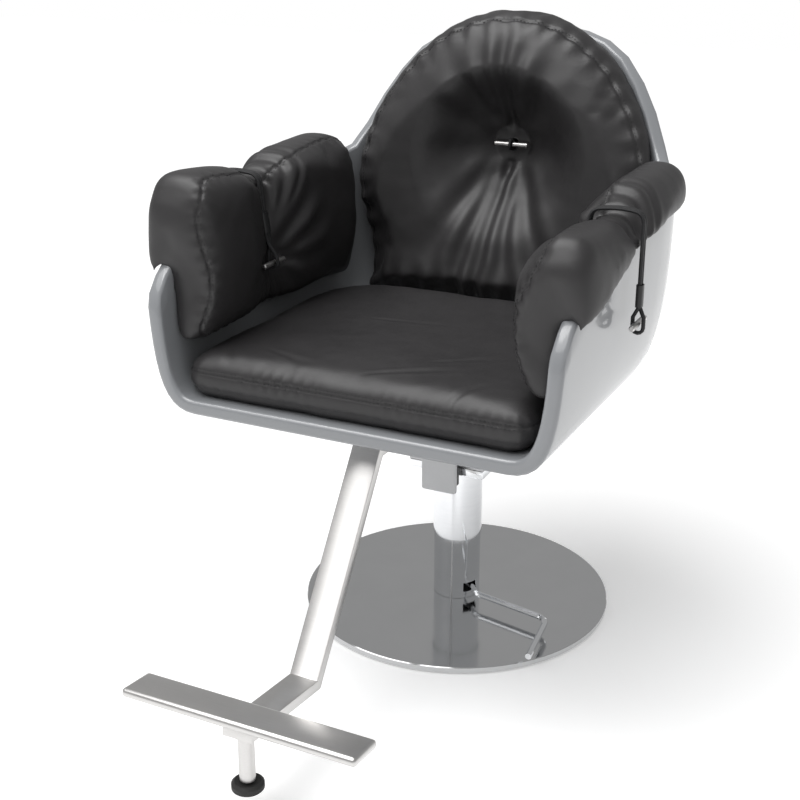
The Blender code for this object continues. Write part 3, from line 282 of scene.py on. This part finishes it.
def settled(piece):
    # the piece's modifiers made part of its mesh
    bpy.context.view_layer.update()
    made = bpy.data.meshes.new_from_object(piece.evaluated_get(bpy.context.evaluated_depsgraph_get()))
    piece.modifiers.clear()
    piece.data = made


def newPiece(name, mesh, finish):
    piece = bpy.data.objects.new(name, mesh)
    bpy.context.scene.collection.objects.link(piece)
    mesh.materials.clear()
    mesh.materials.append(finishes[finish])
    return piece


def smoothed(mesh, rounds, factor):
    shape = bmesh.new()
    shape.from_mesh(mesh)
    for _ in range(rounds):
        bmesh.ops.smooth_vert(shape, verts=shape.verts, factor=factor, use_axis_x=True,
                              use_axis_y=True,
                              use_axis_z=True)
    shape.to_mesh(mesh)
    shape.free()


def easing(share):
    share = min(max(share, 0.0), 1.0)
    return share * share * (3 - 2 * share)


def keptClear(start, move, walls, gap=0.0012):
    # a move stopped short of the neighbours
    reach = move.length
    if reach < 1e-7:
        return start
    for wall in walls:
        met = wall.ray_cast(start, move.normalized(), reach + gap)
        if met[0] is not None:
            reach = min(reach, max(met[3] - gap, 0.0))
    return start + move.normalized() * reach


def puffed(piece, walls, pressure, most):
    # air pressure swells the cover, with a limit on how far any point goes
    started = [vertex.co.copy() for vertex in piece.data.vertices]
    cloth = piece.modifiers.new("filling", "CLOTH")
    cloth.settings.use_pressure = True
    cloth.settings.uniform_pressure_force = pressure
    cloth.settings.effector_weights.gravity = 0
    cloth.settings.quality = 5
    cloth.settings.tension_stiffness = cloth.settings.compression_stiffness = 18
    cloth.settings.bending_stiffness = 1.2
    cloth.settings.air_damping = 2
    cloth.point_cache.frame_start, cloth.point_cache.frame_end = 1, 20
    for moment in range(1, 21):
        bpy.context.scene.frame_set(moment)
    settled(piece)
    for vertex, start in zip(piece.data.vertices, started):
        move = vertex.co - start
        if move.length > most:
            move = move.normalized() * most
        vertex.co = keptClear(start, move, walls)
    bpy.context.scene.frame_set(1)


def cushionFrom(name, voxel, shrink, pressure, most, rounds):
    base = nodes[name]
    piece = newPiece("soft_" + name, base.data.copy(), "black_leather")
    remesh = piece.modifiers.new("even", "REMESH")
    remesh.mode, remesh.voxel_size = "VOXEL", voxel
    settled(piece)
    smoothed(piece.data, rounds, 0.5)
    inward = [vertex.normal.copy() for vertex in piece.data.vertices]
    walls = [treeOf(nodes[other]) for other in neighbours[name]]
    for vertex, normal in zip(piece.data.vertices, inward):
        vertex.co = keptClear(vertex.co.copy(), -normal * shrink, walls)
    puffed(piece, walls, pressure, most)
    smoothed(piece.data, 2, 0.5)
    finer = piece.modifiers.new("finer", "SUBSURF")
    finer.levels = finer.render_levels = 1
    settled(piece)
    print(name, "filled,", len(piece.data.vertices), "points")
    return piece, walls


def seamAround(piece, centre, first, second, inset, steps, back=0.6, span=(0.0, 360.0)):
    # points a little inside the outline, seen along first x second, laid on the cover
    cover = treeOf(piece)
    look = first.cross(second)
    points = []
    for step in range(steps + 1):
        swing = math.radians(span[0] + (span[1] - span[0]) * step / steps)
        way = first * math.cos(swing) + second * math.sin(swing)
        near, far = 0.02, 0.5
        for _ in range(22):
            middle = (near + far) / 2
            if cover.ray_cast(centre + way * middle - look * back, look)[0] is None:
                far = middle
            else:
                near = middle
        met = cover.ray_cast(centre + way * (near - inset) - look * back, look)
        if met[0] is not None:
            points.append(met[0])
    return points


def evened(points, pitch):
    out, left = [points[0].copy()], pitch
    for a, b in zip(points[:-1], points[1:]):
        run = (b - a).length
        while run > 1e-9 and left <= run:
            a = a + (b - a) * (left / run)
            out.append(a.copy())
            run, left = (b - a).length, pitch
        left -= run
    return out


def softened(points, rounds):
    for _ in range(rounds):
        inner = [(a + b * 2 + c) / 4 for a, b, c in zip(points[:-2], points[1:-1], points[2:])]
        points = [points[0]] + inner + [points[-1]]
    return points


def fold(across, along, width, depth, start, end, fade):
    # the depth of one crease, with a soft ridge on each side of it
    strength = easing((along - start) / fade) * easing((end - along) / (end - start) * 2.2)
    if strength <= 0:
        return 0.0
    wide = width * (0.55 + 0.9 * max(along, 0) / end)
    share = across / wide
    ridges = math.exp(-(share - 1.7) ** 2) + math.exp(-(share + 1.7) ** 2)
    return depth * strength * (math.exp(-share * share) - 0.55 * ridges)


def shaped(piece, walls, seams, dent, limit=0.012):
    # creases, seam grooves and the gathers beside them, as moves along the cover's own normals
    spots = []
    for seam in seams:
        points = evened(seam["points"], 0.002)
        tree = KDTree(len(points))
        for spot, point in enumerate(points):
            tree.insert(point, spot)
        tree.balance()
        spots.append((tree, seam))
    mesh = piece.data
    moves = []
    for vertex in mesh.vertices:
        here, normal = vertex.co, vertex.normal
        depth = dent(here, normal)
        for tree, seam in spots:
            _, spot, gap = tree.find(here)
            if gap > seam["reach"] * 2.5:
                continue
            depth += seam["depth"] * math.exp(-(gap / seam["groove"]) ** 2)
            phase = spot * 0.002 / seam["pitch"] * math.tau
            ripple = math.sin(phase + 2.2 * noise.noise(Vector((spot * 0.011, seam["seed"], 0))))
            ripple *= 0.55 + 0.9 * noise.noise(Vector((spot * 0.02, seam["seed"] + 5, 1)))
            depth += seam["gather"] * ripple * math.exp(-(gap / seam["reach"]) ** 2)
        depth += 0.0009 * noise.noise(here * 14) + 0.0004 * noise.noise(here * 45)
        moves.append((-normal * max(min(depth, limit * 2), -limit)))
    for vertex, move in zip(mesh.vertices, moves):
        vertex.co = keptClear(vertex.co.copy(), move, walls)
    for face in mesh.polygons:
        face.use_smooth = True
    mesh.update()


stitchSizes = {"length": 0.0040, "pitch": 0.0058, "radius": 0.00042, "apart": 0.0034}


def stitched(name, piece, points, rows=(-1, 1)):
    # two rows of short thread lengths laid on the cover, each sunk at its ends
    cover = treeOf(piece)
    shape = bmesh.new()
    run = evened(softened(evened(points, 0.004), 3), stitchSizes["pitch"])
    for a, b in zip(run[:-1], run[1:]):
        ahead = (b - a).normalized()
        for row in rows:
            spot, normal, _, _ = cover.find_nearest((a + b) / 2)
            if spot is None:
                continue
            beside = normal.cross(ahead).normalized() * stitchSizes["apart"] * row
            spot, normal, _, _ = cover.find_nearest(spot + beside)
            along = (ahead - normal * ahead.dot(normal)).normalized()
            side = normal.cross(along)
            rings = []
            for share in (-0.5, -0.3, 0.0, 0.3, 0.5):
                middle = spot + along * stitchSizes["length"] * share
                middle += normal * (0.0003 - 0.0024 * share * share)
                radius = stitchSizes["radius"] * (0.45 if abs(share) == 0.5 else 1.0)
                ring = []
                for turn in range(6):
                    swing = math.tau * turn / 6
                    outward = side * math.cos(swing) + normal * math.sin(swing)
                    ring.append(shape.verts.new(middle + outward * radius))
                rings.append(ring)
            for one, two in zip(rings[:-1], rings[1:]):
                for turn in range(6):
                    shape.faces.new((one[turn], one[(turn + 1) % 6], two[(turn + 1) % 6],
                                     two[turn]))
            shape.faces.new(rings[0][::-1])
            shape.faces.new(rings[-1])
    bmesh.ops.recalc_face_normals(shape, faces=shape.faces)
    mesh = bpy.data.meshes.new(name)
    shape.to_mesh(mesh)
    shape.free()
    for face in mesh.polygons:
        face.use_smooth = True
    thread = newPiece(name, mesh, "black_cord")
    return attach(thread, "seat")


neighbours = {
    "seat_cushion": ["shell", "arm_cushion_left", "arm_cushion_right", "back_cushion"],
    "back_cushion": ["shell", "back_cord", "seat_cushion", "arm_cushion_left", "arm_cushion_right",
                     "back_toggle"],
    "arm_cushion_left": ["shell", "arm_cord_left", "seat_cushion", "back_cushion",
                         "arm_toggle_inner_left",
                         "arm_toggle_outer_left", "cord_sleeve_inner_left",
                         "cord_sleeve_outer_left"],
    "arm_cushion_right": ["shell", "arm_cord_right", "seat_cushion", "back_cushion",
                          "arm_toggle_inner_right",
                          "arm_toggle_outer_right", "cord_sleeve_inner_right",
                          "cord_sleeve_outer_right"],
}

# the seat cushion, with its welt and front boxing
seatPad = {"voxel": 0.006, "shrink": -0.004, "pressure": 4.0, "most": 0.006, "fill": 0.8,
           "welt": 0.478, "lowSeam": 0.4535,
           "dome": 0.007, "frontGather": 0.0011}
def tiedIn(piece, knot, facing, half, slope, reach):
    # the cover kept behind its toggle, and rising from it as a soft cone
    for vertex in piece.data.vertices:
        away = vertex.co - knot
        depth = away.dot(facing)
        flat = away - facing * depth
        outside = max(flat.length - half, 0)
        if abs(depth) < 0.14 and depth > slope * outside:
            vertex.co -= facing * (depth - slope * outside) * easing((reach - outside) / (reach
                                                                                          * 0.7))


seatSoft, seatWalls = cushionFrom("seat_cushion", seatPad["voxel"], seatPad["shrink"],
                                  seatPad["pressure"],
                                  seatPad["most"], 1)
seatLow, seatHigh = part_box("seat_cushion")


# middle x and y, turn, length and depth of each crease
seatCreases = (
    (0.07, -0.31, 28, 0.16, 0.0012), (0.12, -0.24, 35, 0.14, 0.0010),
    (-0.11, -0.33, -18, 0.12, 0.0009), (0.16, -0.34, 62, 0.09, 0.0013),
    (-0.02, -0.12, 8, 0.17, 0.0008), (-0.2, -0.34, -60, 0.07, 0.0011),
)


def seatDent(here, normal):
    u = here.x / seatHigh.x
    v = (here.y - (seatLow.y + seatHigh.y) / 2) / ((seatHigh.y - seatLow.y) / 2)
    depth = -seatPad["dome"] * max(1 - u ** 4, 0) * max(1 - v ** 4, 0) * max(normal.z, 0)
    for x, y, turn, length, deep in seatCreases:
        swing = math.radians(turn)
        along = (here.x - x) * math.cos(swing) + (here.y - y) * math.sin(swing)
        across = -(here.x - x) * math.sin(swing) + (here.y - y) * math.cos(swing)
        if normal.z > 0.3:
            depth += fold(across, along + length / 2, 0.006, deep, 0.0, length, 0.04)
    return depth


def levelSeam(piece, height):
    cover = treeOf(piece)
    points = []
    for step in range(241):
        swing = math.radians(-215 + 250 * step / 240)
        way = Vector((math.cos(swing), math.sin(swing), 0))
        start = Vector((0, -0.14, height)) + way * 0.6
        met = cover.ray_cast(start, -way)
        if met[0] is not None:
            points.append(met[0])
    return points


frontSeam = levelSeam(seatSoft, seatPad["welt"])
lowSeam = levelSeam(seatSoft, seatPad["lowSeam"])
shaped(seatSoft, seatWalls, [
    {"points": frontSeam, "groove": 0.0024, "depth": 0.0022, "pitch": 0.017,
     "gather": seatPad["frontGather"],
     "reach": 0.012, "seed": 3.0},
    {"points": lowSeam, "groove": 0.0022, "depth": 0.0015, "pitch": 0.021, "gather": 0.0006,
     "reach": 0.008,
     "seed": 9.0}], seatDent)
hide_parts("seat_cushion")
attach(seatSoft, "seat")
stitched("seat_stitches", seatSoft, frontSeam)
print("seat cushion sewn")

# the back cushion, drawn in by its toggle
backPad = {"voxel": 0.006, "shrink": -0.001, "pressure": 4.0, "most": 0.010, "fill": 0.7,
           "seamInset": 0.012,
           "knot": (0.0, 0.725)}
# angle from straight right, width, depth, start, end
backFolds = (
    (90, 0.0100, 0.0080, 0.014, 0.215), (79, 0.0110, 0.0050, 0.018, 0.195),
    (103, 0.0110, 0.0046, 0.020, 0.185), (122, 0.0150, 0.0048, 0.026, 0.175),
    (60, 0.0150, 0.0050, 0.022, 0.185), (46, 0.0150, 0.0030, 0.032, 0.165),
    (150, 0.0200, 0.0030, 0.040, 0.150), (185, 0.0200, 0.0026, 0.040, 0.130),
    (-6, 0.0200, 0.0022, 0.040, 0.120), (236, 0.0190, 0.0044, 0.030, 0.265),
    (254, 0.0150, 0.0066, 0.020, 0.285), (265, 0.0110, 0.0070, 0.016, 0.280),
    (278, 0.0140, 0.0046, 0.022, 0.285), (296, 0.0180, 0.0050, 0.026, 0.270),
)
backSoft, backWalls = cushionFrom("back_cushion", backPad["voxel"], backPad["shrink"],
                                  backPad["pressure"],
                                  backPad["most"], 4)


tiedIn(backSoft, Vector((0, 0.1965, 0.725)), Vector((0, -1, 0)), 0.030, 0.62, 0.15)


def knotFolds(u, w, folds):
    depth = 0.0
    for turn, width, deep, start, end in folds:
        swing = math.radians(turn)
        along = u * math.cos(swing) + w * math.sin(swing)
        if along > 0:
            across = -u * math.sin(swing) + w * math.cos(swing)
            depth += fold(across, along, width, deep, start, end, 0.030)
    return depth


def backDent(here, normal):
    if normal.y > -0.05:
        return 0.0
    u, w = here.x - backPad["knot"][0], here.z - backPad["knot"][1]
    depth = knotFolds(u, w, backFolds)
    depth += 0.004 * math.exp(-((u / 0.040) ** 2 + (w / 0.020) ** 2))
    low = easing((0.560 - here.z) / 0.07)
    pucker = math.sin(here.x / 0.034 * math.tau + 2.4 * noise.noise(Vector((here.x * 9, 2, 7))))
    depth += 0.0034 * low * pucker * max(1 - (u / 0.24) ** 2, 0)
    return depth * min(1.0, -normal.y * 1.8)


backSeam = seamAround(backSoft, Vector((0, 0, 0.70)), Vector((1, 0, 0)), Vector((0, 0, -1)),
                      backPad["seamInset"],
                      300, 1.0, (130.0, 410.0))
backSeam = softened(backSeam, 4)
shaped(backSoft, backWalls, [
    {"points": backSeam, "groove": 0.0026, "depth": 0.0030, "pitch": 0.036, "gather": 0.0026,
     "reach": 0.020,
     "seed": 21.0}], backDent)
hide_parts("back_cushion")
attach(backSoft, "seat")
stitched("back_stitches", backSoft, backSeam, (1,))
print("back cushion sewn")

# the arm cushions, tied round the waist
armPad = {"voxel": 0.006, "shrink": -0.0025, "pressure": 4.0, "most": 0.010, "fill": 0.75,
          "seamInset": 0.010,
          "knot": (-0.165, 0.585)}
# in the plane of the arm: 0 points to the back, 90 up
armFolds = (
    (262, 0.0060, 0.0042, 0.010, 0.085), (283, 0.0060, 0.0036, 0.010, 0.085),
    (302, 0.0070, 0.0036, 0.012, 0.085), (322, 0.0085, 0.0030, 0.018, 0.095),
    (356, 0.0120, 0.0034, 0.030, 0.150), (24, 0.0130, 0.0034, 0.030, 0.160),
    (50, 0.0110, 0.0034, 0.024, 0.150), (238, 0.0080, 0.0026, 0.014, 0.080),
    (192, 0.0150, 0.0020, 0.034, 0.100),
)
crestLine = (
    (-0.40, 0.590), (-0.367, 0.612), (-0.350, 0.632), (-0.330, 0.650), (-0.288, 0.670),
    (-0.235, 0.684), (-0.171, 0.690), (-0.089, 0.690), (0.026, 0.705), (0.100, 0.730),
    (0.30, 0.760),
)


def leftCrest(y):
    # how high the inner edge of the sitter's left cushion stands
    for (y0, z0), (y1, z1) in zip(crestLine[:-1], crestLine[1:]):
        if y0 <= y <= y1:
            return z0 + (z1 - z0) * (y - y0) / (y1 - y0)
    return 0.76


for side, label in ((1, "left"), (-1, "right")):
    name = "arm_cushion_" + label
    armSoft, armWalls = cushionFrom(name, armPad["voxel"], armPad["shrink"], armPad["pressure"],
                                    armPad["most"], 15)

    tiedIn(armSoft, Vector((0.2405 * side, -0.165, 0.585)), Vector((-side, 0, 0)), 0.022, 0.55,
           0.08)
    if side > 0:
        for vertex in armSoft.data.vertices:
            here = vertex.co
            crest = leftCrest(here.y)
            if here.z > crest and here.x < 0.275:
                share = easing((here.x - 0.205) / 0.070)
                vertex.co.z = crest + (here.z - crest) * share

    def armDent(here, normal):
        u, w = here.y - armPad["knot"][0], here.z - armPad["knot"][1]
        inner = -normal.x * side
        depth = 0.0
        if inner > 0.05:
            depth = knotFolds(u, w, armFolds) * min(1.0, inner * 1.8)
            depth += 0.004 * math.exp(-((u / 0.036) ** 2 + (w / 0.014) ** 2))
        top = easing((here.z - 0.640) / 0.05)
        for y, slant, deep in ((-0.150, 0.10, 0.0042), (-0.128, 0.35, 0.0036), (-0.182, -0.12,
                                                                                0.0026),
                               (-0.106, 0.6, 0.0024)):
            across = u - (y + 0.165) - slant * (here.z - 0.70)
            depth += deep * top * (math.exp(-(across / 0.0065) ** 2)
                                   - 0.5 * math.exp(-((across - 0.012) / 0.008) ** 2))
        return depth

    armSeam = seamAround(armSoft, Vector((0.0, -0.20, 0.625)), Vector((0, 1, 0)), Vector((0, 0,
                                                                                          side)),
                         armPad["seamInset"], 260, 0.0, (0.0, 360.0))
    keep = [point for point in armSeam if point.y < -0.21 or point.z > 0.66]
    keep.sort(key=lambda point: math.atan2(point.z - 0.625, -(point.y + 0.20)))
    armSeam = softened(keep, 4)
    shaped(armSoft, armWalls, [
        {"points": armSeam, "groove": 0.0024, "depth": 0.0026, "pitch": 0.021, "gather": 0.0019,
         "reach": 0.012,
         "seed": 40.0 + side}], armDent)
    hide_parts(name)
    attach(armSoft, "seat")
    stitched("arm_stitches_" + label, armSoft, armSeam)
print("arm cushions sewn")

# camera, floor and lights
studio = {"worldLight": 0.40, "floorLift": 0.30, "sunLean": (22, -18, 0), "sunPower": 1.6,
          "sunSpread": 55,
          "top": (-0.5, -0.5, 2.6), "topPower": 30.0}
camera = bpy.data.objects.new("camera", bpy.data.cameras.new("camera"))
bpy.context.scene.collection.objects.link(camera)
camera.data.lens = 59.373
camera.data.sensor_width = 36
camera.location = (0.78752, -1.80170, 1.089)
camera.rotation_euler = (math.radians(69.3524), 0, math.radians(26.3765))
bpy.context.scene.camera = camera


def staged(name, corners, colour, lift):
    mesh = bpy.data.meshes.new(name)
    mesh.from_pydata(corners, [], [(0, 1, 2, 3)])
    plane = bpy.data.objects.new(name, mesh)
    bpy.context.scene.collection.objects.link(plane)
    graph = Graph(name)
    shade = graph.cloud(0.8, 2.0)
    graph.set(Base_Color=graph.blend(shade, colour, tuple(min(part * 1.02,
                                                              1.0) for part in colour)), Roughness=0.9,
              Emission_Color=(1, 1, 1, 1), Emission_Strength=lift)
    mesh.materials.append(graph.material)
    return plane


staged("floor", [(-9, -9, 0), (9, -9, 0), (9, 9, 0), (-9, 9, 0)], (0.90, 0.90, 0.90),
       studio["floorLift"])


def softbox(name, place, size, power):
    lamp = bpy.data.objects.new(name, bpy.data.lights.new(name, "AREA"))
    lamp.data.shape, lamp.data.size, lamp.data.energy = "SQUARE", size, power
    lamp.location = place
    lamp.rotation_euler = (Vector((0, 0, 0.5)) - Vector(place)).to_track_quat("-Z", "Y").to_euler()
    bpy.context.scene.collection.objects.link(lamp)


softbox("top", studio["top"], 1.6, studio["topPower"])
sun = bpy.data.objects.new("sun", bpy.data.lights.new("sun", "SUN"))
sun.data.energy, sun.data.angle = studio["sunPower"], math.radians(studio["sunSpread"])
sun.rotation_euler = [math.radians(turn) for turn in studio["sunLean"]]
bpy.context.scene.collection.objects.link(sun)
world = bpy.data.worlds.new("studio")
bpy.context.scene.world = world
world.use_nodes = True
sky = world.node_tree
path = sky.nodes.new("ShaderNodeLightPath")
lit = sky.nodes.new("ShaderNodeMapRange")
lit.inputs["To Min"].default_value, lit.inputs["To Max"].default_value = studio["worldLight"], 1.0
sky.links.new(path.outputs["Is Camera Ray"], lit.inputs["Value"])
sky.links.new(lit.outputs[0], sky.nodes["Background"].inputs["Strength"])
sky.nodes["Background"].inputs["Color"].default_value = (1, 1, 1, 1)
bpy.context.scene.view_settings.view_transform = "Standard"
print("studio set")
